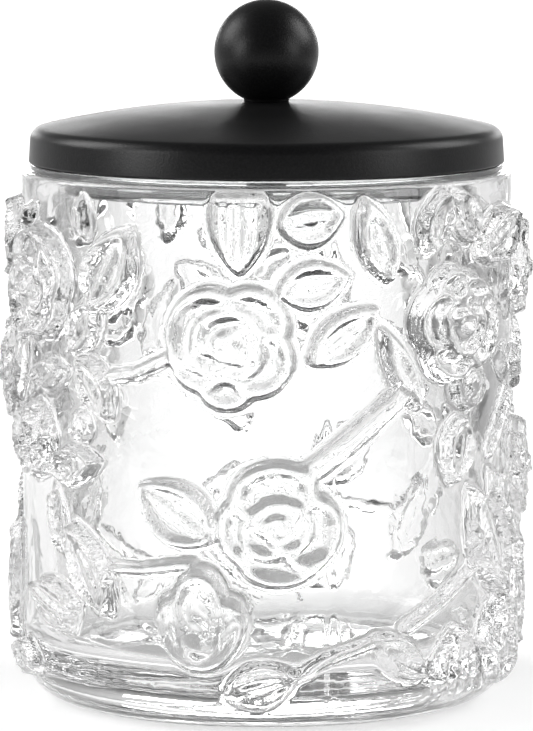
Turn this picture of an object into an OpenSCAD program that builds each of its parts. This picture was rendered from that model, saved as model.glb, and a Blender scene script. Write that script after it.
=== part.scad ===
// Pressed glass apothecary jar with a rose relief and a lift-off black steel lid.
// Origin: middle of the foot, on the surface that the jar stands on.
// +Z is up, -Y is the front. The lid lifts straight up along +Z.

/* [Jar] */
// Diameter of the plain wall, under the relief
jar_d = 94; // [80:1:115]
// Height of the rim above the foot
jar_h = 101.5; // [82:0.5:125]
// Thickness of the side wall
wall = 6; // [4.5:0.25:7.5]
// Thickness of the glass floor
floor_t = 10; // [7:0.5:13]
// Radius of the round edge between the wall and the foot
base_round = 8.6; // [6:0.2:11]
// Radius of the round corner inside, between the wall and the floor
inner_round = 6; // [4:0.5:8]
// Width of the flat ring that the jar stands on
foot_ring_w = 4; // [3:0.5:6]
// Depth of the hollow under the foot
foot_hollow = 1.6; // [1:0.1:2.5]
// Chamfer on both corners of the rim
rim_chamfer = 0.5; // [0.3:0.1:0.8]

/* [Relief] */
// Height of a rose above the wall
rose_h = 4.6; // [3:0.1:5]
// Height of a leaf above the wall
leaf_h = 3.4; // [2.4:0.1:4]
// Diameter of a stem
stem_d = 3.4; // [2.6:0.1:4]
// Height above the foot where the relief starts to fade
relief_fade = 13; // [10:0.5:16]

/* [Lid shell] */
// Step from the jar's wall in to the skirt of the lid
lid_inset = 1.4; // [0.8:0.1:2.5]
// Height of the lid from the skirt's lower edge to the top of the dome
lid_h = 11.6; // [9.5:0.1:14]
// Rise of the dome above the skirt
dome_rise = 5.3; // [4.2:0.1:6.4]
// Radius of the corner between the skirt and the dome
lid_corner = 2.5; // [2:0.1:3]
// Slope of the skirt in degrees
skirt_draft = 3.5; // [1:0.5:6]
// Thickness of the steel sheet
sheet = 0.8; // [0.6:0.1:1]

/* [Seal] */
// Thickness of the flange that lies on the glass rim
seal_t = 1.5; // [1.2:0.1:2]
// Step from the skirt in to the edge of the flange
seal_inset = 0.3; // [0.2:0.1:0.6]
// Thickness of the sleeve round the plug
sleeve_t = 0.8; // [0.6:0.1:1]
// Depth of the sleeve below the flange
sleeve_h = 2.6; // [2.2:0.1:4]
// Gap between the sealing bead and the jar's bore
bore_gap = 0.3; // [0.2:0.05:0.5]
// Height of the sealing bead on the sleeve
bead = 0.4; // [0.3:0.05:0.6]

/* [Liner] */
// Thickness of the web and of the plug's wall
liner_t = 1.6; // [1.2:0.1:2]
// Thickness of the plug's lip below the sleeve
lip_t = 1; // [0.8:0.1:1.4]
// Gap between the liner's web and the inside of the skirt
web_gap = 0.2; // [0.1:0.05:0.4]

/* [Spacer] */
// Diameter of the tube between the liner and the dome
spacer_d = 9.4; // [8.2:0.1:10.6]

/* [Knob] */
// Diameter of the ball
knob_d = 20; // [16:0.5:25]
// Diameter of the knob's flat foot
knob_foot_d = 8.7; // [8:0.1:11]
// Height of the foot below the ball
knob_foot_h = 0.5; // [0.3:0.1:2]

/* [Fixing] */
// Diameter of the screw's thread
screw_d = 4; // [3.5:0.5:5]
// Length of thread inside the knob
thread_bite = 6.6; // [5:0.1:8]
// Diameter of the screw's pan head
head_d = 8; // [7:0.1:8.6]
// Height of the screw's pan head
head_h = 2.8; // [2.2:0.1:3.2]
// Outer diameter of the flat washer
washer_d = 9; // [8.6:0.1:10.5]
// Thickness of the flat washer
washer_t = 0.8; // [0.5:0.1:1]
// Thickness of the spring washer
spring_t = 1; // [0.7:0.1:1.2]
// Clearance on the diameter of each hole that the screw passes through
screw_gap = 0.3; // [0.2:0.1:0.5]

/* [Hidden] */
$fn = 96;

jar_r = jar_d / 2;
bore_r = jar_r - wall;
foot_r = jar_r - base_round;
relief_top = jar_r + rose_h;

seal_z = jar_h;                      // underside of the seal's flange, on the rim
lid_z = seal_z + seal_t;             // lower edge of the skirt
lid_r = jar_r - lid_inset;
apex_z = lid_z + lid_h;
land_drop = 0.06;                    // the dome's top is flattened by this much
land_z = apex_z - land_drop;         // flat land under the knob
dome_r = (lid_r * lid_r + dome_rise * dome_rise) / (2 * dome_rise);
under_dome = land_z - sheet;

seal_r = lid_r - seal_inset;
sleeve_r = bore_r - bore_gap - bead; // outside of the sleeve
plug_r = sleeve_r - sleeve_t;        // outside of the liner's plug
plug_z = seal_z - sleeve_h - lip_t;   // lower end of the plug
web_r = lid_r - sheet / cos(skirt_draft) - web_gap - liner_t * tan(skirt_draft);

knob_z = land_z + knob_foot_h + sqrt(pow(knob_d / 2, 2) - pow(knob_foot_d / 2, 2));
screw_hole = screw_d + screw_gap;
thread_depth = 0.32;
tap_d = screw_d - 2 * thread_depth;
washer_z = lid_z - washer_t;         // underside of the flat washer
spring_z = washer_z - spring_t;      // underside of the spring washer
head_lip = 0.2;                      // the head stands past the spring washer by this much
spring_d = head_d - 2 * head_lip;
screw_tip = land_z + thread_bite;
hole_spare = 1.4;                    // free depth past the screw's tip
over = 1;                            // cutters run past a face by this much
half_turn = 180;

// The pattern is drawn on a wall of this height and spread over the real one.
pattern_h = 101.5;
function up(z) = z * jar_h / pattern_h;

// Roses: [angle from the front, height, radius, share of rose_h]
ROSES = [[-8, 73, 13.2, 1], [-63.5, 81.5, 11.8, 0.96], [47.5, 75, 11.8, 0.95],
         [68, 13.5, 9.2, 0.8], [-66, 52, 8.2, 0.8]];
// Round buds, drawn as roses are
ROUND_BUDS = [[52, 63.5, 5, 0.66], [-47, 56, 3.6, 0.58]];
// Leaves: [angle, height, length, width, turn of the tip from straight up, share of leaf_h]
LEAVES = [[-46, 95.5, 10, 4.5, 10, 0.64], [-70, 94.5, 9, 5, -60, 0.7], [-59, 65, 14, 7, -80, 0.76],
          [-55, 37.5, 15, 4.5, 15, 0.75], [-49, 48.5, 15, 8.5, -80, 0.85], [-78, 66, 18, 9, 165, 0.82],
          [-73, 9.5, 15, 8, 80, 0.81], [25, 92, 18, 8.5, 18, 0.88], [10, 96, 12, 11, -80, 0.87],
          [31, 14, 15, 8, 50, 0.84], [31, 68, 20, 6.5, 27, 0.91], [70, 38.5, 22, 9, 39, 0.94],
          [66, 91, 20, 11, -68, 0.93], [41, 95, 13, 8.5, -20, 0.9], [50, 95.5, 12, 8.5, 25, 0.89],
          [10.5, 84, 14.5, 10, -78, 0.92], [17.5, 74.5, 17.5, 9.5, -52, 1], [-45, 75, 14, 8.5, -30, 0.86],
          [-42, 64, 15, 8.5, 33, 0.9], [-37, 86, 18.5, 11.5, -30, 1.03], [-20.5, 41.5, 18.5, 12, 55, 1.02],
          [-43.5, 29.5, 21, 9.5, 30, 0.98], [59.5, 33.5, 25, 12, 27, 1.08], [47.5, 51.5, 14, 9, 170, 0.86],
          [-1, 9.5, 15.5, 10, -75, 0.89]];
// Long buds: [angle, height, length, width, turn of the tip from straight up, share of rose_h]
LONG_BUDS = [[-14.5, 20.5, 22, 13, -170, 0.84], [48, 11, 15, 12, 0, 0.76], [-6, 93.6, 12.8, 11, 0, 0.7],
             [-57, 22, 16, 10, 70, 0.68]];
// Stems: [angle and height of one end, angle and height of the other]
STEMS = [[[6, 47], [30, 62]], [[-37, 66], [-20, 71]], [[33, 19], [56, 29]],
         [[-38, 30], [-17, 32]], [[7, 11], [27, 17.5]], [[62, 50], [74, 60]]];
// Drawn once: a low rose in front, a lower one behind, and what fills the joins of the halves
SINGLE_ROSES = [[2.5, 39.5, 12.3, 0.94], [187, 27, 11.8, 0.94],
                [-93, 63, 11.3, 1], [91, 83, 10.3, 0.86], [90, 44, 11.3, 0.87]];
END_LEAVES = [[-88, 89, 17, 9, 15, 0.9], [-90, 22, 26, 10, -10, 0.72], [87, 65, 14, 8, 80, 0.56],
              [89, 20, 24, 10, 12, 0.77]];

// A point on the wall, sunk below its surface
function wall_point(angle, z, sink) =
    [(jar_r - sink) * sin(angle), -(jar_r - sink) * cos(angle), up(z)];

// Children are drawn with x to the right, y up and z out from the jar's axis.
module on_wall(angle, z, turn = 0) {
    rotate([0, 0, angle - 90]) translate([0, 0, up(z)])
        rotate([0, 90, 0]) rotate([0, 0, 90 + turn]) children();
}

// A pointed oval along y
module leaf_outline(length, width) {
    side_r = (length * length + width * width) / (4 * width);
    intersection_for (side = [-1, 1])
        translate([side * (side_r - width / 2), 0]) circle(r = side_r);
}

// Pointed oval whose top falls away from its midrib
module leaf(length, width, lift) {
    fall = 1.6;                       // drop from the midrib to the edge
    top_r = (width * width / 4 + fall * fall) / (2 * fall);
    intersection() {
        translate([0, 0, bore_r - over]) linear_extrude(height = wall + rose_h + over)
            leaf_outline(length, width);
        translate([0, length, jar_r + lift - top_r]) rotate([90, 0, 0])
            cylinder(r = top_r, h = 2 * length);
    }
}

// Three cups of petals, one inside the other, round a pointed heart
module rose(radius, lift) {
    rims = [[1, 0.3], [0.7, 0.68], [0.38, 0.94]];    // share of radius, share of lift
    dip = 0.24;                                     // share of lift lost inside a rim
    top = jar_r;
    rotate_extrude()
        polygon([[0, bore_r - over], [radius, bore_r - over],
                 [radius, top + lift * rims[0][1]],
                 [radius * rims[1][0], top + lift * (rims[0][1] + dip / 2)],
                 [radius * rims[1][0], top + lift * rims[1][1]],
                 [radius * rims[2][0], top + lift * (rims[1][1] - dip / 2)],
                 [radius * rims[2][0], top + lift * rims[2][1]],
                 [radius * 0.2, top + lift * (rims[2][1] - dip)],
                 [0, top + lift]]);
}

module stem(from, to) {
    sink = stem_d / 6;
    a = wall_point(from[0], from[1], sink);
    b = wall_point(to[0], to[1], sink);
    run = b - a;
    translate(a) rotate([0, acos(run[2] / norm(run)), atan2(run[1], run[0])])
        cylinder(d = stem_d, h = norm(run));
}

module roses(places) {
    for (p = places) on_wall(p[0], p[1]) rose(p[2], rose_h * p[3]);
}

module leaves(places, height) {
    for (p = places) on_wall(p[0], p[1], p[4]) leaf(p[2], p[3], height * p[5]);
}

// Half of the pattern; the mould repeats it half a turn round
module relief_side() {
    roses(concat(ROSES, ROUND_BUDS));
    leaves(LEAVES, leaf_h);
    leaves(LONG_BUDS, rose_h);
    for (s = STEMS) stem(s[0], s[1]);
}

// Outline of the glass without relief, right of the axis
module body_outline(radius, edge_r) {
    square([radius - edge_r, jar_h - rim_chamfer]);
    translate([0, edge_r]) square([radius, jar_h - rim_chamfer - edge_r]);
    translate([radius - edge_r, edge_r]) circle(r = edge_r);
    translate([0, jar_h - rim_chamfer]) square([radius - rim_chamfer, rim_chamfer]);
    polygon([[radius - rim_chamfer, jar_h - rim_chamfer - over], [radius, jar_h - rim_chamfer - over],
             [radius, jar_h - rim_chamfer], [radius - rim_chamfer, jar_h]]);
}

module right_half(reach) {
    intersection() {
        translate([0, -reach]) square([reach, 3 * reach]);
        children();
    }
}

module bore_outline() {
    translate([0, floor_t + inner_round]) square([bore_r, jar_h]);
    translate([0, floor_t]) square([bore_r - inner_round, inner_round + over]);
    translate([bore_r - inner_round, floor_t + inner_round]) circle(r = inner_round);
}

module glass_jar() color("aliceblue", 0.35) {
    hollow_r = foot_r - foot_ring_w;
    sphere_r = (hollow_r * hollow_r + foot_hollow * foot_hollow) / (2 * foot_hollow);
    rim_gap = 0.5;                    // the relief stops this far below the rim's chamfer
    foot_gap = 1.2;                   // and this far above the foot
    difference() {
        union() {
            rotate_extrude() right_half(jar_h) body_outline(jar_r, base_round);
            intersection() {
                union() {
                    for (side = [0, half_turn]) rotate([0, 0, side]) relief_side();
                    roses(SINGLE_ROSES);
                    leaves(END_LEAVES, leaf_h);
                }
                rotate_extrude()
                    polygon([[0, foot_gap], [foot_r, foot_gap], [jar_r, relief_fade / 2],
                             [relief_top, relief_fade],
                             [relief_top, jar_h - rim_chamfer - rim_gap],
                             [0, jar_h - rim_chamfer - rim_gap]]);
            }
        }
        rotate_extrude() right_half(jar_h) bore_outline();
        translate([0, 0, foot_hollow - sphere_r]) sphere(r = sphere_r);
    }
}

// Centre of the corner circle that touches the sloping skirt and a dome of the given radius
function corner_z(edge, corner, dome, dome_mid) =
    let (slope = tan(skirt_draft),
         reach = edge - corner / cos(skirt_draft) + lid_z * slope,
         b = reach * slope + dome_mid,
         c = reach * reach + dome_mid * dome_mid - pow(dome - corner, 2),
         a = slope * slope + 1)
    (b + sqrt(b * b - a * c)) / a;

// Solid cap with the dome, the round corner and the sloping skirt of the lid
module cap_outline(inward) {
    edge = lid_r - inward / cos(skirt_draft);
    corner = lid_corner - inward;
    dome = dome_r - inward;
    mid = apex_z - dome_r;
    cz = corner_z(edge, corner, dome, mid);
    cx = edge - corner / cos(skirt_draft) - (cz - lid_z) * tan(skirt_draft);
    reach = sqrt(cx * cx + pow(cz - mid, 2));
    touch = [cx * dome / reach, mid + (cz - mid) * dome / reach];
    side = [cx + corner * cos(skirt_draft), cz + corner * sin(skirt_draft)];
    translate([cx, cz]) circle(r = corner);
    polygon([[0, lid_z - over], [edge + over * tan(skirt_draft), lid_z - over], side, [cx, cz],
             touch, [0, touch[1]]]);
    intersection() {
        translate([0, mid]) circle(r = dome, $fn = 720);
        translate([0, touch[1] - over]) square([touch[0], land_z - inward - touch[1] + over]);
    }
}

module lid_shell() color("black") {
    rotate_extrude() difference() {
        intersection() {
            right_half(2 * apex_z) cap_outline(0);
            translate([screw_hole / 2, lid_z]) square([lid_r, lid_h + over]);
        }
        cap_outline(sheet);
    }
}

module cylinder_from(z0, z1, r) {
    translate([0, 0, z0]) cylinder(r = r, h = z1 - z0);
}

module lid_liner() color("whitesmoke", 0.6) {
    lip_r = plug_r + sleeve_t / 2;
    difference() {
        union() {
            cylinder_from(lid_z, lid_z + liner_t, web_r);
            cylinder_from(plug_z, lid_z, plug_r);
            cylinder_from(plug_z, plug_z + lip_t, lip_r);
        }
        cylinder_from(plug_z - over, lid_z, plug_r - liner_t);
        cylinder_from(lid_z - over, lid_z + liner_t + over, screw_hole / 2);
    }
}

module dome_spacer() color("white") {
    difference() {
        cylinder_from(lid_z + liner_t, under_dome, spacer_d / 2);
        cylinder_from(lid_z + liner_t - over, under_dome + over, screw_hole / 2);
    }
}

module rim_seal() color("ghostwhite", 0.6) {
    sleeve_z = seal_z - sleeve_h;
    rotate_extrude() difference() {
        union() {
            translate([plug_r, seal_z]) square([seal_r - plug_r, seal_t]);
            translate([plug_r, sleeve_z]) square([sleeve_t, sleeve_h + over / 2]);
            translate([sleeve_r, sleeve_z + sleeve_h / 2]) circle(r = bead);
        }
        square([plug_r, jar_h + seal_t]);
    }
}

module knob() color("black") {
    difference() {
        union() {
            translate([0, 0, knob_z]) sphere(d = knob_d);
            cylinder_from(land_z, knob_z, knob_foot_d / 2);
        }
        cylinder_from(land_z - knob_d, land_z, knob_d / 2);
        cylinder_from(land_z - over, screw_tip + hole_spare, tap_d / 2);
    }
}

module knob_screw() color("silver") {
    crown = 0.8;                      // height of the rounded part of the head
    crown_r = (head_d * head_d / 4 + crown * crown) / (2 * crown);
    head_z = spring_z - head_h;
    slot = 1.1;
    difference() {
        union() {
            cylinder_from(spring_z - head_h / 2, screw_tip, screw_d / 2);
            intersection() {
                cylinder_from(head_z, spring_z, head_d / 2);
                translate([0, 0, head_z + crown_r]) sphere(r = crown_r);
            }
        }
        for (turn = [0, 90]) rotate([0, 0, turn]) translate([0, 0, head_z])
            cube([head_d * 0.6, slot, head_h], center = true);
    }
}

module spring_washer() color("silver") {
    slit = 0.7;
    difference() {
        cylinder_from(spring_z, washer_z, spring_d / 2);
        cylinder_from(spring_z - over, washer_z + over, screw_hole / 2);
        translate([0, -slit / 2, spring_z - over]) cube([spring_d, slit, spring_t + 2 * over]);
    }
}

module flat_washer() color("silver") {
    difference() {
        cylinder_from(washer_z, lid_z, washer_d / 2);
        cylinder_from(washer_z - over, lid_z + over, screw_hole / 2);
    }
}

glass_jar();
lid_shell();
lid_liner();
rim_seal();
dome_spacer();
knob();
knob_screw();
spring_washer();
flat_washer();
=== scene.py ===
import math

import bmesh
import bpy
import numpy as np
from mathutils import Matrix, Vector


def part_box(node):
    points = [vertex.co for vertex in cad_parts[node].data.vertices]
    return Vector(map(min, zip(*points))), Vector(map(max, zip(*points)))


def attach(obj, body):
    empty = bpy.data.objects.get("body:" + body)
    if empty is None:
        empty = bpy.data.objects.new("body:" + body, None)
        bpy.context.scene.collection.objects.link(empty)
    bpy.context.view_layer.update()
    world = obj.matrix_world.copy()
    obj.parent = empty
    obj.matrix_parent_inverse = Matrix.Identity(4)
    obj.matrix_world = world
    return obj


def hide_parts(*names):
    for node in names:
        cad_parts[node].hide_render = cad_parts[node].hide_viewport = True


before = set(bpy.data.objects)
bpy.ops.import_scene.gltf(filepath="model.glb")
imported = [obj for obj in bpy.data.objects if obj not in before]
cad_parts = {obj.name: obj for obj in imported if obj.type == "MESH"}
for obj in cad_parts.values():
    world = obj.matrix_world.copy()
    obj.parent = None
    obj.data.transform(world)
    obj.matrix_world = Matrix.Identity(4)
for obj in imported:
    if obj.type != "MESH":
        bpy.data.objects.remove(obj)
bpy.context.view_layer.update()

# ---------------------------------------------------------------- glass jar
# One pressing in clear soda-lime glass, with roses, buds, leaves and stems
# standing out from its wall. The mould leaves three faint upright seams, and
# fire polishing rounds every edge. All sizes below are in millimetres.
MM = 0.001
wall_r = 47.0
bore_r = 41.0
foot_r = 38.4
base_round = 8.6
inner_round = 6.0
floor_t = 10.0
ring_w = 4.0
hollow = 1.6
rim_round = 0.7
rim_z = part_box("glass_jar")[1][2] / MM
segments = 420

relief_low = 1.5         # height above the foot where the relief starts
relief_full = 9.0        # height where it has its full depth
ripple_h = 0.07          # waviness that fire polishing leaves in the wall
first_seam = 14.57       # angle of the first of three mould seams
seam_w = 0.45            # half width of a seam
seam_h = 0.14            # height of a seam
edge_w = 1.3             # width of the drafted wall round every petal and leaf
roll_in = 1.6            # middle of the rolled rim, in from the outline
roll_w = 0.75            # half width of the rolled rim
roll_h = 0.95            # height of the rolled rim
dish_end = 0.86          # share of a petal's reach where its dish ends at the rim
dish_steep = 2.6         # how sharply the dish rises there
coil_pitch = 2.6         # distance between the turns of a rose's rolled middle
midrib_w = 0.8           # half width of a leaf's midrib


def arc(mid_r, mid_z, radius, start, stop, count):
    """Points of an arc in the outline, angles in degrees from straight out."""
    turns = [math.radians(start + (stop - start) * i / count) for i in range(count + 1)]
    return [(mid_r + radius * math.cos(a), mid_z + radius * math.sin(a)) for a in turns]


def straight(r0, z0, r1, z1, count):
    """Inner points of a straight stretch of the outline, without its ends."""
    steps = [i / count for i in range(1, count)]
    return [(r0 + (r1 - r0) * t, z0 + (z1 - z0) * t) for t in steps]


def jar_outline():
    """Half outline of the glass, from the middle of the foot round to the middle of the floor."""
    hollow_r = foot_r - ring_w
    ball_r = (hollow_r ** 2 + hollow ** 2) / (2 * hollow)
    lift = math.degrees(math.asin(hollow_r / ball_r))
    points = arc(0, hollow - ball_r, ball_r, 90, 90 - lift, 6)
    points += straight(hollow_r, 0, foot_r, 0, 3)
    points += arc(foot_r, base_round, base_round, -90, 0, 14)
    points += straight(wall_r, base_round, wall_r, rim_z - rim_round, 168)
    points += arc(wall_r - rim_round, rim_z - rim_round, rim_round, 0, 90, 3)
    points += straight(wall_r - rim_round, rim_z, bore_r + rim_round, rim_z, 3)
    points += arc(bore_r + rim_round, rim_z - rim_round, rim_round, 90, 180, 3)
    points += straight(bore_r, rim_z - rim_round, bore_r, floor_t + inner_round, 14)
    points += arc(bore_r - inner_round, floor_t + inner_round, inner_round, 0, -90, 6)
    points += straight(bore_r - inner_round, floor_t, 0, floor_t, 4)
    return points + [(0, floor_t)]


def turned(name, outline, steps):
    """A closed solid of revolution from a half outline that may start and end on the axis."""
    shape = bmesh.new()
    chain = [shape.verts.new((r * MM, 0, z * MM)) for r, z in outline]
    if outline[0][0] > 0:
        chain.append(chain[0])
    lines = [shape.edges.new(pair) for pair in zip(chain, chain[1:])]
    bmesh.ops.spin(shape, geom=list(shape.verts) + lines, cent=(0, 0, 0), axis=(0, 0, 1),
                   angle=math.tau, steps=steps, use_merge=True)
    bmesh.ops.remove_doubles(shape, verts=shape.verts, dist=0.001 * MM)
    bmesh.ops.recalc_face_normals(shape, faces=shape.faces)
    mesh = bpy.data.meshes.new(name)
    shape.to_mesh(mesh)
    shape.free()
    mesh.shade_smooth()
    piece = bpy.data.objects.new(name, mesh)
    bpy.context.collection.objects.link(piece)
    return piece


def soft(low, high, x):
    """Smooth step from 0 at low to 1 at high."""
    t = np.clip((x - low) / (high - low), 0, 1)
    return t * t * (3 - 2 * t)


class Relief:
    """Height of the pattern above the plain wall, over points given by angle and height."""

    def __init__(self, angle, level):
        self.angle = angle
        self.level = level
        self.height = np.zeros_like(angle)

    def spot(self, angle, level, turn=0):
        """Distances to the right of and above a point on the wall, for a motif turned there."""
        across = ((self.angle - angle + 180) % 360 - 180) * math.radians(1) * wall_r
        up = self.level - level
        c, s = math.cos(math.radians(turn)), math.sin(math.radians(turn))
        return across * c + up * s, up * c - across * s

    def lay(self, inside, surface, edge=edge_w):
        """Put a surface on what is there; inside is the distance in from its outline."""
        cover = soft(0, edge, inside)
        self.height += cover * (surface - self.height)

    def roll(self, inside):
        """A rounded rim that runs along the inside of an outline."""
        return roll_h * np.exp(-((inside - roll_in) / roll_w) ** 2)

    def petal(self, x, y, way, reach, width, depth, low, high):
        """A dished oval with a rolled rim higher than its middle; way is its angle from the right."""
        c, s = math.cos(math.radians(way)), math.sin(math.radians(way))
        out, side = x * c + y * s - reach, y * c - x * s
        share = np.sqrt((side / width) ** 2 + (out / depth) ** 2)
        inside = (1 - share) * min(width, depth)
        bowl = low + (high - low) * np.minimum(share / dish_end, 1) ** dish_steep
        self.lay(inside, bowl + self.roll(inside))

    def heart(self, x, y, radius, top):
        """The rolled middle of a rose: a low cone with one spiral groove."""
        far = np.hypot(x, y)
        coil = np.cos(math.tau * far / coil_pitch - np.arctan2(y, x) - 0.6)
        self.lay(radius - far, top - 0.6 * (far / radius) ** 2 + 0.5 * coil, 1.2)

    def rose(self, angle, level, radius, top, petals, turn=0):
        """Petals are [way, reach, width, depth, low, high] on a rose of radius 10."""
        x, y = self.spot(angle, level, turn)
        x, y = x * 10 / radius, y * 10 / radius
        for way, reach, width, depth, low, high in petals:
            self.petal(x, y, way, reach, width, depth, low * top, high * top)
        self.heart(x, y, 2.9, top)

    def leaf(self, angle, level, length, width, turn, top, round_tip=0.8):
        """A pointed leaf: raised rim, two hollow halves and a midrib."""
        x, y = self.spot(angle, level, turn)
        along = np.clip(y / length + 0.5, 0, 1)
        half = width / 2 * np.sin(math.pi * along ** 0.9) ** round_tip
        inside = np.minimum((half - np.abs(x)) * 0.9, (length / 2 - np.abs(y)) * 1.2)
        share = np.clip(np.abs(x) / np.maximum(half, 0.1), 0, 1)
        rim = np.minimum(share / 0.8, 1) ** 3
        surface = top * (0.5 + 0.46 * rim + 0.3 * np.exp(-(x / midrib_w) ** 2) * (1 - 0.5 * along))
        self.lay(inside, surface + 0.1 * top * along + self.roll(inside))

    def stem(self, points, width, top):
        """A round rod through points given as angle and height."""
        for (a0, z0), (a1, z1) in zip(points, points[1:]):
            x, y = self.spot(a0, z0)
            run_x, run_y = (a1 - a0) * math.radians(1) * wall_r, z1 - z0
            length = math.hypot(run_x, run_y)
            t = np.clip((x * run_x + y * run_y) / length ** 2, 0, 1)
            far = np.hypot(x - t * run_x, y - t * run_y)
            rod = top * np.sqrt(np.clip(1 - (far / (width / 2)) ** 2, 0, 1))
            self.height = np.maximum(self.height, rod)

    def bead(self, angle, level, radius, top):
        """A round bud with a ring cut in it."""
        x, y = self.spot(angle, level)
        far = np.hypot(x, y)
        ring = 0.7 * np.exp(-((far - radius * 0.55) / 0.7) ** 2)
        self.lay(radius - far, top * (1 - 0.35 * (far / radius) ** 2) - ring)

    def seam(self, angle):
        """A thin upright ridge left where two mould blocks meet."""
        self.height += seam_h * np.exp(-(self.spot(angle, 0)[0] / seam_w) ** 2)

    def fan(self, angle, level, length, width, turn, top, folds):
        """A bud whose folds spread from its base to its pointed tip."""
        x, y = self.spot(angle, level, turn)
        along = np.clip(y / length + 0.5, 0, 1)
        half = width / 2 * np.sin(math.pi * (0.22 + 0.78 * along)) ** 0.7
        inside = np.minimum((half - np.abs(x)) * 0.9, (length / 2 - np.abs(y)) * 1.1)
        share = x / np.maximum(half, 0.1)
        surface = top * (1 - 0.35 * share ** 2) + 0.45 * np.cos(math.pi * folds * share)
        self.lay(inside, surface)


OPEN_ROSE = [[45, 4.8, 5.8, 4.8, 0.3, 0.66], [-95, 5.4, 4.8, 4.4, 0.26, 0.62],
             [-150, 4.8, 5, 4.6, 0.3, 0.68], [150, 4.1, 6.9, 5.6, 0.28, 0.74],
             [-32, 4.8, 5.6, 4.9, 0.32, 0.78], [-140, 2.8, 4.6, 3.4, 0.4, 0.86],
             [-55, 2.4, 4.6, 3.4, 0.42, 0.9], [100, 1.7, 5.6, 4, 0.44, 0.98],
             [-5, 1.5, 3.4, 3.2, 0.5, 1]]
CUPPED_ROSE = [[190, 4.7, 6, 4.7, 0.28, 0.66], [-85, 5, 7, 4.8, 0.28, 0.7],
               [-15, 4.8, 6.6, 5, 0.3, 0.76], [98, 4.6, 7, 5.3, 0.32, 0.82],
               [-140, 2.6, 4.6, 3.8, 0.42, 0.88], [-20, 1.9, 4.4, 3.8, 0.46, 0.94],
               [95, 1, 4.5, 3.6, 0.5, 1]]


# Leaves of one half: angle, level, length, width, turn and height.
LEAVES = [
    (-46, 95.5, 10, 4.5, 10, 2.2), (-70, 94.5, 9, 5, -60, 2.4), (-59, 65, 14, 7, -80, 2.6),
    (-55, 37.5, 15, 4.5, 15, 2.6), (-49, 48.5, 15, 8.5, -80, 2.9), (-78, 66, 18, 9, 165, 2.8),
    (-73, 9.5, 15, 8, 80, 2.8), (25, 92, 18, 8.5, 18, 3), (10, 96, 13, 11, -80, 3),
    (31, 14, 15, 8, 50, 2.9), (31, 68, 20, 6.5, 27, 3.1), (70, 38.5, 22, 9, 39, 3.2),
    (66, 91, 20, 11, -68, 3.2), (41, 95, 14, 8.5, -20, 3.1), (50, 95.5, 13, 8.5, 25, 3),
    (10.5, 84, 14.5, 10, -78, 3.1), (17.5, 74.5, 17.5, 9.5, -52, 3.4),
    (-45, 75, 14, 8.5, -30, 3), (-42, 64, 15, 8.5, 33, 3.1), (-37, 86, 18.5, 12, -30, 3.5),
    (-20.5, 41.5, 18.5, 12.5, 55, 3.5), (-43.5, 29.5, 21, 9.5, 30, 3.4),
    (59.5, 33.5, 25, 12, 27, 3.7), (47.5, 51.5, 14, 9, 170, 3), (-1, 9.5, 15.5, 10, -75, 3.1)]

# Stems of one half: points given as angle and level, width and height.
STEMS = [
    ([(6, 47), (17, 53.5), (30, 62)], 4.8, 2.6),
    ([(-37, 66), (-30, 67), (-20, 71)], 2.8, 1.8),
    ([(33, 19), (44, 23.5), (56, 29)], 2.8, 1.8),
    ([(-38, 30), (-28, 30.5), (-17, 32)], 2.4, 1.6),
    ([(7, 11), (13, 14), (27, 17.5)], 2.6, 1.7),
    ([(62, 50), (74, 60)], 3, 2)]


def draw_side(wall, side):
    """One half of the pattern. The mould repeats it half a turn round."""
    for angle, level, length, width, turn, top in LEAVES:
        wall.leaf(angle + side, level, length, width, turn, top)
    for points, width, top in STEMS:
        wall.stem([(a + side, z) for a, z in points], width, top)
    wall.fan(-6 + side, 94, 17, 12.5, 180, 3.3, 4)
    wall.fan(48 + side, 11, 15.5, 13.5, 0, 3.6, 5)
    wall.fan(-57 + side, 22, 16, 10, 70, 3.2, 3)
    for way, reach, width, depth in ((25, 3.4, 8.5, 5), (155, 3.4, 8.5, 5), (92, -1.5, 6, 10.5)):
        x, y = wall.spot(-14.5 + side, 20.5, 180)
        wall.petal(x, y, way, reach, width, depth, 2.4, 3.7)
    wall.bead(52 + side, 63.5, 5.2, 3)
    wall.bead(-47 + side, 56, 3.6, 2.6)
    wall.rose(-66 + side, 52, 8.4, 3.7, CUPPED_ROSE, 70)
    wall.rose(68 + side, 13.5, 9.4, 3.6, CUPPED_ROSE, 160)
    wall.rose(47.5 + side, 75, 12, 4.4, OPEN_ROSE, 200)
    wall.rose(-63.5 + side, 81.5, 12, 4.4, CUPPED_ROSE, 120)
    wall.rose(-8 + side, 73, 13.4, 4.6, OPEN_ROSE)


def draw_singles(wall):
    """The low rose in front, a lower one behind, and what fills the two joins between the halves."""
    wall.rose(2.5, 39.5, 12.6, 4.3, CUPPED_ROSE)
    wall.rose(187, 27, 12, 4.3, CUPPED_ROSE, 200)
    wall.leaf(-88, 89, 17, 9, 15, 3.1)
    wall.leaf(-90, 22, 26, 10, -10, 2.5)
    wall.rose(-93, 63, 11.5, 4.6, OPEN_ROSE, 40)
    wall.leaf(87, 65, 14, 8, 80, 1.9)
    wall.leaf(89, 20, 24, 10, 12, 2.6)
    wall.rose(91, 83, 10.5, 3.9, CUPPED_ROSE, 20)
    wall.rose(90, 44, 11.5, 3.9, OPEN_ROSE, 250)


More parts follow.
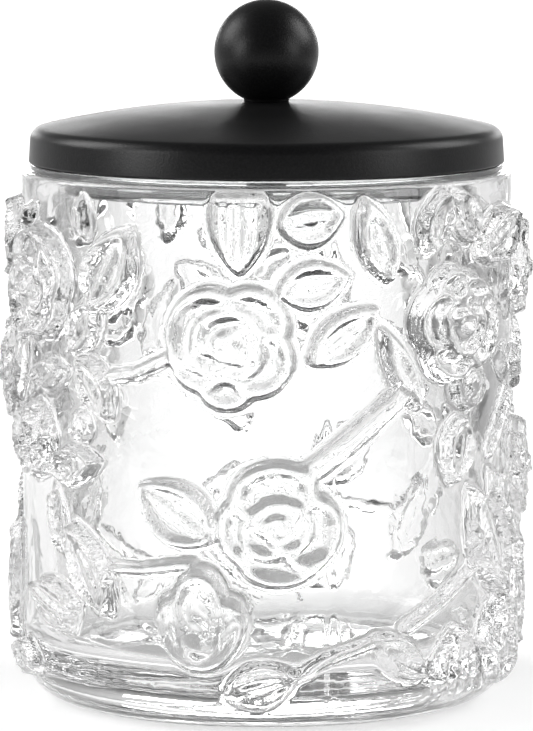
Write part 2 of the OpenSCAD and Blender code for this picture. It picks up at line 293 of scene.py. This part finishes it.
def press_relief(piece):
    """Move the outer wall's points out by the pattern's height."""
    points = np.empty(len(piece.data.vertices) * 3)
    piece.data.vertices.foreach_get("co", points)
    points = points.reshape(-1, 3)
    far = np.hypot(points[:, 0], points[:, 1]) / MM
    level = points[:, 2] / MM
    outer = (far > (wall_r + bore_r) / 2) | ((level < floor_t / 2) & (far > foot_r))
    angle = np.degrees(np.arctan2(points[outer, 0], -points[outer, 1]))
    far, level = far[outer], level[outer]
    wall = Relief(angle, level)
    for third in range(3):
        wall.seam(first_seam + 120 * third)
    for side in (0, 180):
        draw_side(wall, side)
    draw_singles(wall)
    ripple = (np.sin(np.radians(3 * angle) + level / 19) * np.sin(level / 13 + 1)
              + np.sin(np.radians(7 * angle) - level / 11))
    fade = soft(relief_low, relief_full, level) * soft(rim_z - 0.2, rim_z - 1.8, level)
    height = (wall.height + ripple_h * ripple) * fade * MM
    lean_out = np.clip((far - foot_r) / base_round, 0, 1)
    lean_down = np.clip((level - base_round) / base_round, -1, 0)
    size = np.hypot(lean_out, lean_down)
    points[outer, 0] += height * lean_out / size * np.sin(np.radians(angle))
    points[outer, 1] -= height * lean_out / size * np.cos(np.radians(angle))
    points[outer, 2] += height * lean_down / size
    piece.data.vertices.foreach_set("co", points.ravel())
    piece.data.update()


def new_material(name):
    """An empty node material with its Principled shader and Object coordinates."""
    made = bpy.data.materials.new(name)
    made.use_nodes = True
    tree = made.node_tree
    shader = tree.nodes["Principled BSDF"]
    place = tree.nodes.new("ShaderNodeTexCoord").outputs["Object"]
    return made, tree, shader, place


def painted_graze_shade(tree, shader):
    """Painted shade: glass greyed where the view grazes it, far more than the longer path through clear
    glass would take, so that it draws the relief's outlines.
    """
    graze = tree.nodes.new("ShaderNodeLayerWeight")
    tone = tree.nodes.new("ShaderNodeValToRGB")
    stops = tone.color_ramp.elements
    stops[0].position, stops[0].color = 0.03, (0.995, 0.998, 0.997, 1)
    stops[1].position, stops[1].color = 1.0, (0.42, 0.425, 0.425, 1)
    for at, grey in ((0.12, 0.91), (0.3, 0.82), (0.55, 0.65)):
        stops.new(at).color = (grey, grey, grey, 1)
    tree.links.new(graze.outputs["Facing"], tone.inputs["Fac"])
    tree.links.new(tone.outputs["Color"], shader.inputs["Base Color"])


def tool_marks(tree, shader, place):
    """The mould cutter's soft tool marks, on everything that stands out from the wall."""
    split = tree.nodes.new("ShaderNodeSeparateXYZ")
    tree.links.new(place, split.inputs[0])
    flat = tree.nodes.new("ShaderNodeCombineXYZ")
    tree.links.new(split.outputs["X"], flat.inputs["X"])
    tree.links.new(split.outputs["Y"], flat.inputs["Y"])
    far = tree.nodes.new("ShaderNodeVectorMath")
    far.operation = "LENGTH"
    tree.links.new(flat.outputs["Vector"], far.inputs[0])
    raised = tree.nodes.new("ShaderNodeMapRange")
    for socket, value in (("From Min", wall_r + 0.4), ("From Max", wall_r + 1.6)):
        raised.inputs[socket].default_value = value * MM
    raised.inputs["To Min"].default_value = 0.06
    tree.links.new(far.outputs["Value"], raised.inputs["Value"])
    chasing = tree.nodes.new("ShaderNodeTexNoise")
    for socket, value in (("Scale", 190), ("Detail", 0.5), ("Distortion", 1.4)):
        chasing.inputs[socket].default_value = value
    tree.links.new(place, chasing.inputs["Vector"])
    marks = tree.nodes.new("ShaderNodeMath")
    marks.operation = "MULTIPLY"
    tree.links.new(chasing.outputs["Fac"], marks.inputs[0])
    tree.links.new(raised.outputs["Result"], marks.inputs[1])
    bump = tree.nodes.new("ShaderNodeBump")
    bump.inputs["Strength"].default_value = 0.7
    bump.inputs["Distance"].default_value = 0.8 * MM
    tree.links.new(marks.outputs["Value"], bump.inputs["Height"])
    tree.links.new(bump.outputs["Normal"], shader.inputs["Normal"])


def clear_glass():
    made, tree, shader, place = new_material("pressed_glass")
    shader.inputs["Transmission Weight"].default_value = 1
    shader.inputs["IOR"].default_value = 1.5
    shader.inputs["Roughness"].default_value = 0
    # painted shade on the glass where the view grazes it, drawing the relief's outlines
    painted_graze_shade(tree, shader)
    tool_marks(tree, shader, place)
    return made


jar = turned("pressed_jar", jar_outline(), segments)
press_relief(jar)
jar.data.materials.append(clear_glass())
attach(jar, "jar")
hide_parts("glass_jar")


# ---------------------------------------------------------------- rim seal
# A ring of clear silicone rubber. Its flange lies on the rim of the glass, and
# its short sleeve with a soft bead goes down into the bore, round the plug.
seal_low, seal_high = (corner[2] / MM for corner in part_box("rim_seal"))
seal_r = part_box("rim_seal")[1][0] / MM
sleeve_in = 39.5
sleeve_out = 40.3
flange_t = 1.5
bead_r = 0.4
sleeve_h = seal_high - seal_low - flange_t


def seal_outline():
    """Section through the ring, the flange and the sleeve with its bead."""
    flange_z = seal_high - flange_t
    points = [(sleeve_in, seal_low), (sleeve_out - 0.2, seal_low)]
    points += arc(sleeve_out, seal_low + sleeve_h / 2, bead_r, -90, 90, 8)
    points += arc(sleeve_out + 0.3, flange_z - 0.3, 0.3, 180, 90, 3)
    points += arc(seal_r - 0.4, flange_z + 0.4, 0.4, -90, 0, 4)
    points += arc(seal_r - 0.4, seal_high - 0.4, 0.4, 0, 90, 4)
    return points + [(sleeve_in, seal_high)]


def gloss_group():
    """Gloss that varies softly over the surface, between two roughnesses."""
    group = bpy.data.node_groups.new("uneven_gloss", "ShaderNodeTree")
    side, nodes, link = group.interface, group.nodes, group.links.new
    side.new_socket("Vector", in_out="INPUT", socket_type="NodeSocketVector")
    for name in ("Scale", "Detail", "Rough Low", "Rough High"):
        side.new_socket(name, in_out="INPUT", socket_type="NodeSocketFloat")
    side.new_socket("Roughness", in_out="OUTPUT", socket_type="NodeSocketFloat")
    given = nodes.new("NodeGroupInput").outputs
    noise = nodes.new("ShaderNodeTexNoise")
    for name in ("Vector", "Scale", "Detail"):
        link(given[name], noise.inputs[name])
    span = nodes.new("ShaderNodeMapRange")
    link(noise.outputs["Fac"], span.inputs["Value"])
    link(given["Rough Low"], span.inputs["To Min"])
    link(given["Rough High"], span.inputs["To Max"])
    link(span.outputs["Result"], nodes.new("NodeGroupOutput").inputs["Roughness"])
    return group


uneven_gloss = gloss_group()


def clear_moulding(name, tint, scale, detail, rough):
    """A clear moulded plastic or rubber, with its own tint and its two roughnesses."""
    made, tree, shader, place = new_material(name)
    shader.inputs["Base Color"].default_value = (*tint, 1)
    gloss = tree.nodes.new("ShaderNodeGroup")
    gloss.node_tree = uneven_gloss
    tree.links.new(place, gloss.inputs["Vector"])
    for socket, value in (("Scale", scale), ("Detail", detail), ("Rough Low", rough[0]),
                          ("Rough High", rough[1])):
        gloss.inputs[socket].default_value = value
    tree.links.new(gloss.outputs["Roughness"], shader.inputs["Roughness"])
    return made, shader


def clear_rubber():
    made, shader = clear_moulding("clear_silicone", (0.985, 0.99, 0.99), 260, 3, (0.03, 0.1))
    shader.inputs["Transmission Weight"].default_value = 0.94
    shader.inputs["IOR"].default_value = 1.41
    return made


seal = turned("silicone_seal", seal_outline(), 192)
seal.data.materials.append(clear_rubber())
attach(seal, "lid")
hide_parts("rim_seal")


# --------------------------------------------------------------- lid liner
# Injection-moulded clear plastic: a web that carries the lid on the seal, and
# a plug that keeps it centred in the mouth of the jar. A lip holds the seal.
liner_low, liner_high = (corner[2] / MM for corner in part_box("lid_liner"))
web_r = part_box("lid_liner")[1][0] / MM
liner_t = 1.6
plug_r = sleeve_in - 0.02
lip_r = 39.9
screw_hole_r = 2.15


def liner_outline():
    """Section through the web, the plug and its lip, from the screw hole outwards."""
    web_z = liner_high - liner_t
    points = [(screw_hole_r, web_z), (plug_r - liner_t - 1, web_z)]
    points += arc(plug_r - liner_t - 1, web_z - 1, 1, 90, 0, 5)
    points += arc(plug_r - liner_t + 0.2, liner_low + 0.2, 0.2, 180, 270, 3)
    points += arc(lip_r - 0.2, liner_low + 0.2, 0.2, -90, 0, 3)
    points.append((lip_r, seal_low - 0.05))
    points.append((plug_r, seal_low - 0.05))
    points += [(plug_r, web_z + 0.02), (web_r - 0.3, web_z + 0.02)]
    points += arc(web_r - 0.3, web_z + 0.32, 0.3, -90, 0, 3)
    return points + [(web_r, liner_high), (screw_hole_r, liner_high)]


def clear_plastic():
    made, shader = clear_moulding("clear_plastic", (0.985, 0.988, 0.988), 90, 2, (0.01, 0.05))
    shader.inputs["Transmission Weight"].default_value = 0.96
    shader.inputs["IOR"].default_value = 1.49
    return made


liner = turned("plug_liner", liner_outline(), 192)
liner.data.materials.append(clear_plastic())
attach(liner, "lid")
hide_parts("lid_liner")


# --------------------------------------------------------------- lid shell
# Steel sheet stamped to a low dome with a short skirt, then powder coated in
# satin black. The skirt's lower edge is rolled smooth.
shell_low, shell_high = (corner[2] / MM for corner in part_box("lid_shell"))
shell_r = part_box("lid_shell")[1][0] / MM
sheet = 0.8
dome_rise = 5.3
corner_r = 2.5
draft = math.radians(3.5)
dome_r = (shell_r ** 2 + dome_rise ** 2) / (2 * dome_rise)
dome_mid = shell_high + 0.06 - dome_r


def cap_side(inward, reverse):
    """Outer or inner side of the sheet, from the skirt's edge up to the screw hole."""
    edge, corner, dome = shell_r - inward / math.cos(draft), corner_r - inward, dome_r - inward
    slope = math.tan(draft)
    reach = edge - corner / math.cos(draft) + shell_low * slope
    a, b = slope ** 2 + 1, reach * slope + dome_mid
    mid_z = (b + math.sqrt(b * b - a * (reach ** 2 + dome_mid ** 2 - (dome - corner) ** 2))) / a
    mid_r = reach - mid_z * slope
    lean = math.degrees(math.atan2(mid_r, mid_z - dome_mid))
    points = [(edge - sheet / 2 * slope, shell_low + sheet / 2)]
    points += arc(mid_r, mid_z, corner, math.degrees(draft), 90 - lean, 12)
    last = 90 - lean
    top = math.degrees(math.acos(4.6 / dome))
    points += arc(0, dome_mid, dome, last, top, 26)[1:]
    points.append((screw_hole_r, shell_high - inward))
    return points[::-1] if reverse else points


def shell_outline():
    hem = arc(shell_r - sheet / 2, shell_low + sheet / 2, sheet / 2, 180, 360, 8)[1:-1]
    return cap_side(sheet, True) + hem + cap_side(0, False)


def grained_group():
    """Fine grain over broad clouds: colour between two tones, uneven gloss and a bumped normal."""
    group = bpy.data.node_groups.new("grained_surface", "ShaderNodeTree")
    side, nodes, link = group.interface, group.nodes, group.links.new
    side.new_socket("Vector", in_out="INPUT", socket_type="NodeSocketVector")
    for name in ("Fine Scale", "Broad Scale", "Rough Low", "Rough High", "Depth"):
        side.new_socket(name, in_out="INPUT", socket_type="NodeSocketFloat")
    for name in ("Dark", "Pale"):
        side.new_socket(name, in_out="INPUT", socket_type="NodeSocketColor")
    side.new_socket("Color", in_out="OUTPUT", socket_type="NodeSocketColor")
    side.new_socket("Roughness", in_out="OUTPUT", socket_type="NodeSocketFloat")
    side.new_socket("Normal", in_out="OUTPUT", socket_type="NodeSocketVector")
    given = nodes.new("NodeGroupInput").outputs
    result = nodes.new("NodeGroupOutput").inputs
    masks = []
    for scale, detail in (("Fine Scale", 4), ("Broad Scale", 5)):
        noise = nodes.new("ShaderNodeTexNoise")
        noise.inputs["Detail"].default_value = detail
        link(given["Vector"], noise.inputs["Vector"])
        link(given[scale], noise.inputs["Scale"])
        span = nodes.new("ShaderNodeMapRange")
        span.inputs["From Min"].default_value = 0.3
        span.inputs["From Max"].default_value = 0.7
        link(noise.outputs["Fac"], span.inputs["Value"])
        masks.append(span.outputs["Result"])
    tone = nodes.new("ShaderNodeMix")
    tone.data_type = "RGBA"
    link(masks[0], tone.inputs["Factor"])
    link(given["Dark"], tone.inputs["A"])
    link(given["Pale"], tone.inputs["B"])
    gloss = nodes.new("ShaderNodeMapRange")
    link(masks[1], gloss.inputs["Value"])
    link(given["Rough Low"], gloss.inputs["To Min"])
    link(given["Rough High"], gloss.inputs["To Max"])
    bump = nodes.new("ShaderNodeBump")
    bump.inputs["Strength"].default_value = 0.4
    link(masks[0], bump.inputs["Height"])
    link(given["Depth"], bump.inputs["Distance"])
    link(tone.outputs["Result"], result["Color"])
    link(gloss.outputs["Result"], result["Roughness"])
    link(bump.outputs["Normal"], result["Normal"])
    return group


grained = grained_group()


def grained_material(name, fine, broad, rough, depth, dark, pale):
    """A material whose colour, gloss and normal come from the shared surface group."""
    made, tree, shader, place = new_material(name)
    surface = tree.nodes.new("ShaderNodeGroup")
    surface.node_tree = grained
    tree.links.new(place, surface.inputs["Vector"])
    for socket, value in (("Fine Scale", fine), ("Broad Scale", broad), ("Rough Low", rough[0]),
                          ("Rough High", rough[1]), ("Depth", depth * MM)):
        surface.inputs[socket].default_value = value
    surface.inputs["Dark"].default_value = (*dark, 1)
    surface.inputs["Pale"].default_value = (*pale, 1)
    for socket, target in (("Color", "Base Color"), ("Roughness", "Roughness"), ("Normal", "Normal")):
        tree.links.new(surface.outputs[socket], shader.inputs[target])
    return made, shader


def black_coat(name, grain, rough):
    """Satin powder coat: fine orange peel and uneven gloss."""
    made, shader = grained_material(name, grain, 60, rough, 0.04, (0.005, 0.005, 0.0055),
                                    (0.012, 0.012, 0.0125))
    shader.inputs["Specular IOR Level"].default_value = 0.3
    return made


shell = turned("stamped_shell", shell_outline(), 256)
shell.data.materials.append(black_coat("black_powder_coat", 2600, (0.3, 0.38)))
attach(shell, "lid")
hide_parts("lid_shell")


# -------------------------------------------------------------------- knob
# A turned ball on a small flat foot, tapped from below and coated like the lid.
knob_low, knob_high = (corner[2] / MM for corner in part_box("knob"))
ball_r = 10.0
ball_z = knob_high - ball_r
knob_foot_r = 4.35
tap_r = 1.68
tap_depth = 8.0


def knob_outline():
    start = -math.degrees(math.acos(knob_foot_r / ball_r))
    points = [(0, knob_low + tap_depth + 1), (tap_r, knob_low + tap_depth), (tap_r, knob_low + 0.3)]
    points += [(tap_r + 0.3, knob_low), (knob_foot_r - 0.15, knob_low), (knob_foot_r, knob_low + 0.15)]
    return points + arc(0, ball_z, ball_r, start, 90, 64)


knob = turned("ball_knob", knob_outline(), 160)
knob.data.materials.append(black_coat("black_knob_coat", 3000, (0.33, 0.41)))
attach(knob, "lid")
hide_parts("knob")


# ------------------------------------------------------------- dome spacer
# A short tube of white nylon round the screw. It fills the gap between the
# liner's web and the dome, so that tightening the screw doesn't dent the lid.
spacer_low, spacer_high = (corner[2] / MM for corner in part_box("dome_spacer"))
spacer_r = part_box("dome_spacer")[1][0] / MM


def tube_outline(inner, outer, low, high, round_r):
    """Section through a plain ring or tube with rounded edges."""
    points = arc(inner + round_r, low + round_r, round_r, 180, 270, 3)
    points += arc(outer - round_r, low + round_r, round_r, -90, 0, 3)
    points += arc(outer - round_r, high - round_r, round_r, 0, 90, 3)
    return points + arc(inner + round_r, high - round_r, round_r, 90, 180, 3)


def nylon():
    made, shader = grained_material("white_nylon", 900, 120, (0.42, 0.58), 0.03, (0.66, 0.655, 0.63),
                                    (0.76, 0.755, 0.735))
    shader.inputs["Subsurface Weight"].default_value = 0.15
    shader.inputs["Subsurface Radius"].default_value = (0.002, 0.002, 0.0015)
    return made


spacer = turned("nylon_spacer", tube_outline(screw_hole_r, spacer_r, spacer_low, spacer_high, 0.2), 64)
spacer.data.materials.append(nylon())
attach(spacer, "lid")
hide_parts("dome_spacer")


# -------------------------------------------------------------- knob screw
# A zinc-plated M4 pan-head screw with a cross recess. It comes up from inside
# the plug, through the web, the spacer and the dome, into the knob.
screw_low, screw_high = (corner[2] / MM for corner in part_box("knob_screw"))
head_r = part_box("knob_screw")[1][0] / MM
head_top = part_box("spring_washer")[0][2] / MM
pitch = 0.7
major_r = 1.98
minor_r = 1.68
crown = 1.3
shank_end = screw_high - 0.5
arm_r = 2.1              # reach of the cross recess's arms
arm_half_w = 0.5
recess_deep = 1.5


def screw_outline():
    """Half outline from the middle of the head's face to the end of the thread."""
    ball = (head_r ** 2 + crown ** 2) / (2 * crown)
    lean = math.degrees(math.asin((head_r - 0.3) / ball))
    points = arc(0, screw_low + ball, ball, -90, -90 + lean, 30)
    points += arc(head_r - 0.4, screw_low + crown + 0.35, 0.4, -40, 0, 4)
    points += [(head_r, head_top - 0.2), (head_r - 0.2, head_top), (major_r + 0.15, head_top)]
    points += straight(minor_r, head_top + 0.1, minor_r, shank_end, 210)
    return points + [(minor_r, shank_end), (minor_r - 0.5, screw_high), (0, screw_high)]


def cut_thread(piece):
    """Raise the thread as one helix along the shank and press the cross recess into the head."""
    for point in piece.data.vertices:
        x, y, level = (value / MM for value in point.co)
        far = math.hypot(x, y)
        if far > minor_r - 0.01 and head_top + 0.05 < level < screw_high - 0.4:
            turn = math.atan2(y, x) / math.tau
            phase = (level - head_top) / pitch - turn
            ridge = 1 - abs(2 * (phase % 1) - 1)
            fade = min(1, (screw_high - 0.4 - level) / 1.2, (level - head_top) / 0.6)
            grow = 1 + (major_r - minor_r) * ridge * fade / far
            point.co.x *= grow
            point.co.y *= grow
        elif level < head_top - 1 and far < 2.4:
            upright = min(arm_half_w - abs(x), arm_r - abs(y))
            level_arm = min(arm_half_w - abs(y), arm_r - abs(x))
            depth = min(max(max(upright, level_arm) / 0.25, 0), 1) * (1 - far / 3.4)
            point.co.z += recess_deep * depth * MM


def zinc_plate():
    made, shader = grained_material("zinc_plate", 1400, 220, (0.2, 0.36), 0.02, (0.5, 0.52, 0.54),
                                    (0.66, 0.67, 0.68))
    shader.inputs["Metallic"].default_value = 1
    return made


plate = zinc_plate()
screw = turned("pan_head_screw", screw_outline(), 96)
cut_thread(screw)
screw.data.materials.append(plate)
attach(screw, "lid")
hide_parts("knob_screw")


# ----------------------------------------------------------- spring washer
# A split ring of dark oiled spring steel. Its two ends stand a little apart,
# one higher than the other.
spring_low, spring_high = (corner[2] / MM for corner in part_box("spring_washer"))
spring_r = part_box("spring_washer")[1][1] / MM
slit = 12                # angle left open between the two ends
climb = 0.12             # how much higher one end stands


def spring_ring():
    """A ring's section spun almost once round while it climbs, with both ends closed."""
    shape = bmesh.new()
    section = tube_outline(screw_hole_r, spring_r, 0, spring_high - spring_low - climb, 0.1)
    ring = [shape.verts.new((r * MM, 0, (z + spring_low) * MM)) for r, z in section]
    lines = [shape.edges.new(pair) for pair in zip(ring, ring[1:] + ring[:1])]
    bmesh.ops.rotate(shape, verts=ring, matrix=Matrix.Rotation(math.radians(slit / 2), 3, "Z"))
    spun = bmesh.ops.spin(shape, geom=ring + lines, cent=(0, 0, 0), axis=(0, 0, 1),
                          angle=math.radians(360 - slit), dvec=(0, 0, climb * MM / 72), steps=72)
    far_end = [part for part in spun["geom_last"] if isinstance(part, bmesh.types.BMEdge)]
    bmesh.ops.contextual_create(shape, geom=lines)
    bmesh.ops.contextual_create(shape, geom=far_end)
    bmesh.ops.recalc_face_normals(shape, faces=shape.faces)
    mesh = bpy.data.meshes.new("split_washer")
    shape.to_mesh(mesh)
    shape.free()
    piece = bpy.data.objects.new("split_washer", mesh)
    bpy.context.collection.objects.link(piece)
    return piece


def spring_steel():
    made, shader = grained_material("oiled_spring_steel", 1100, 260, (0.22, 0.42), 0.02,
                                    (0.16, 0.155, 0.15), (0.3, 0.295, 0.29))
    shader.inputs["Metallic"].default_value = 1
    return made


spring = spring_ring()
spring.data.materials.append(spring_steel())
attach(spring, "lid")
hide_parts("spring_washer")


# ------------------------------------------------------------- flat washer
# A plain zinc-plated washer that spreads the screw's load on the plastic web.
flat_low, flat_high = (corner[2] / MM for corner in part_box("flat_washer"))
flat_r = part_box("flat_washer")[1][0] / MM
washer = turned("plain_washer", tube_outline(screw_hole_r, flat_r, flat_low, flat_high, 0.12), 96)
washer.data.materials.append(plate)
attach(washer, "lid")
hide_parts("flat_washer")


# ------------------------------------------------------------------- stage
# A plain white table lit a little from below, with a painted shade in that glow under the jar, in a
# pale room that is bright straight behind it. Soft lights stand on all four sides.
floor_r = 0.4            # metres, like every size in this section
shade_y = 0.03           # middle of the shade under the jar
shade_in = 0.03          # radius within which it is full
shade_out = 0.07         # radius where it ends
shade_tone = 0.66


def floor_disc():
    shape = bmesh.new()
    bmesh.ops.create_circle(shape, cap_ends=True, segments=96, radius=floor_r)
    mesh = bpy.data.meshes.new("floor")
    shape.to_mesh(mesh)
    shape.free()
    floor = bpy.data.objects.new("floor", mesh)
    bpy.context.collection.objects.link(floor)
    made, tree, shader, place = new_material("pale_floor")
    shader.inputs["Base Color"].default_value = (0.85, 0.85, 0.85, 1)
    centre = tree.nodes.new("ShaderNodeMapping")
    centre.inputs["Location"].default_value = (0, -shade_y, 0)
    tree.links.new(place, centre.inputs["Vector"])
    far = tree.nodes.new("ShaderNodeVectorMath")
    far.operation = "LENGTH"
    tree.links.new(centre.outputs["Vector"], far.inputs[0])
    # Painted shade: the floor's glow drops to shade_tone under the jar and comes back to full by
    # shade_out.
    shade = tree.nodes.new("ShaderNodeMapRange")
    for socket, value in (("From Min", shade_in), ("From Max", shade_out),
                          ("To Min", shade_tone), ("To Max", 1)):
        shade.inputs[socket].default_value = value
    tree.links.new(far.outputs["Value"], shade.inputs["Value"])
    tree.links.new(shade.outputs["Result"], shader.inputs["Emission Color"])
    shader.inputs["Roughness"].default_value = 0.9
    shader.inputs["Specular IOR Level"].default_value = 0.1
    shader.inputs["Emission Strength"].default_value = 0.57
    mesh.materials.append(made)


def ramp_over(tree, value, stops):
    """A grey ramp over a node value, with stops as [value, tone] for values from -1 to 1."""
    span = tree.nodes.new("ShaderNodeMapRange")
    span.inputs["From Min"].default_value = -1
    tree.links.new(value, span.inputs["Value"])
    ramp = tree.nodes.new("ShaderNodeValToRGB")
    tree.links.new(span.outputs["Result"], ramp.inputs["Fac"])
    elements = ramp.color_ramp.elements
    for at, tone in stops[1:-1]:
        elements.new((at + 1) / 2).color = (tone, tone, tone, 1)
    for element, (at, tone) in ((elements[0], stops[0]), (elements[-1], stops[-1])):
        element.position, element.color = (at + 1) / 2, (tone, tone, tone, 1)
    return ramp.outputs["Color"]


def surround():
    world = bpy.data.worlds.new("surround")
    bpy.context.scene.world = world
    world.use_nodes = True
    tree = world.node_tree
    sky = tree.nodes["Background"]
    split = tree.nodes.new("ShaderNodeSeparateXYZ")
    tree.links.new(tree.nodes.new("ShaderNodeTexCoord").outputs["Generated"], split.inputs[0])
    depth = ramp_over(tree, split.outputs["Y"], [[-1, 0.1], [0, 0.16], [0.7, 0.42], [0.95, 0.68],
                                                 [0.99, 1], [1, 1]])
    rise = ramp_over(tree, split.outputs["Z"], [[-1, 1], [0.03, 1], [0.16, 0.66], [0.4, 0.3], [1, 0.3]])
    below = ramp_over(tree, split.outputs["Z"], [[-1, 0.84], [-0.2, 0.84], [-0.14, 0], [1, 0]])
    both = tree.nodes.new("ShaderNodeVectorMath")
    both.operation = "MULTIPLY"
    tree.links.new(depth, both.inputs[0])
    tree.links.new(rise, both.inputs[1])
    most = tree.nodes.new("ShaderNodeVectorMath")
    most.operation = "MAXIMUM"
    tree.links.new(both.outputs["Vector"], most.inputs[0])
    tree.links.new(below, most.inputs[1])
    tree.links.new(most.outputs["Vector"], sky.inputs["Color"])
    sky.inputs["Strength"].default_value = 1.25


def soft_light(name, place, aim, width, height, power):
    data = bpy.data.lights.new(name, "AREA")
    data.shape = "RECTANGLE"
    data.size, data.size_y = width, height
    data.energy = power
    lamp = bpy.data.objects.new(name, data)
    bpy.context.collection.objects.link(lamp)
    lamp.location = place
    away = Vector(place) - Vector(aim)
    lamp.rotation_euler = away.to_track_quat("Z", "Y").to_euler()


def camera():
    data = bpy.data.cameras.new("camera")
    data.lens = 259.8
    data.clip_end = 20
    eye = bpy.data.objects.new("camera", data)
    bpy.context.collection.objects.link(eye)
    eye.location = (0, -1.010, 0.1844)
    target = (0.0, 0.0, 0.0635)
    drop = math.atan2(eye.location[2] - target[2], target[1] - eye.location[1])
    eye.rotation_euler = (math.pi / 2 - drop, 0, 0)
    bpy.context.scene.camera = eye


floor_disc()
surround()
soft_light("left", (-1.3, 0.35, 0.9), (0, 0, 0.05), 0.9, 0.9, 13)
soft_light("right", (1.3, 0.35, 0.9), (0, 0, 0.05), 0.9, 0.9, 11)
soft_light("back", (0, 1.7, 0.3), (0, 0, 0.11), 1.6, 0.2, 4.5)
soft_light("front_left", (-1.0, -0.5, 0.35), (0, 0, 0.08), 0.4, 0.6, 4)
soft_light("front_right", (1.0, -0.5, 0.35), (0, 0, 0.08), 0.4, 0.6, 2.5)
camera()
scene = bpy.context.scene
scene.view_settings.view_transform = "Standard"
for name, count in (("max_bounces", 24), ("transmission_bounces", 24), ("glossy_bounces", 12)):
    if hasattr(scene, "cycles"):
        setattr(scene.cycles, name, count)
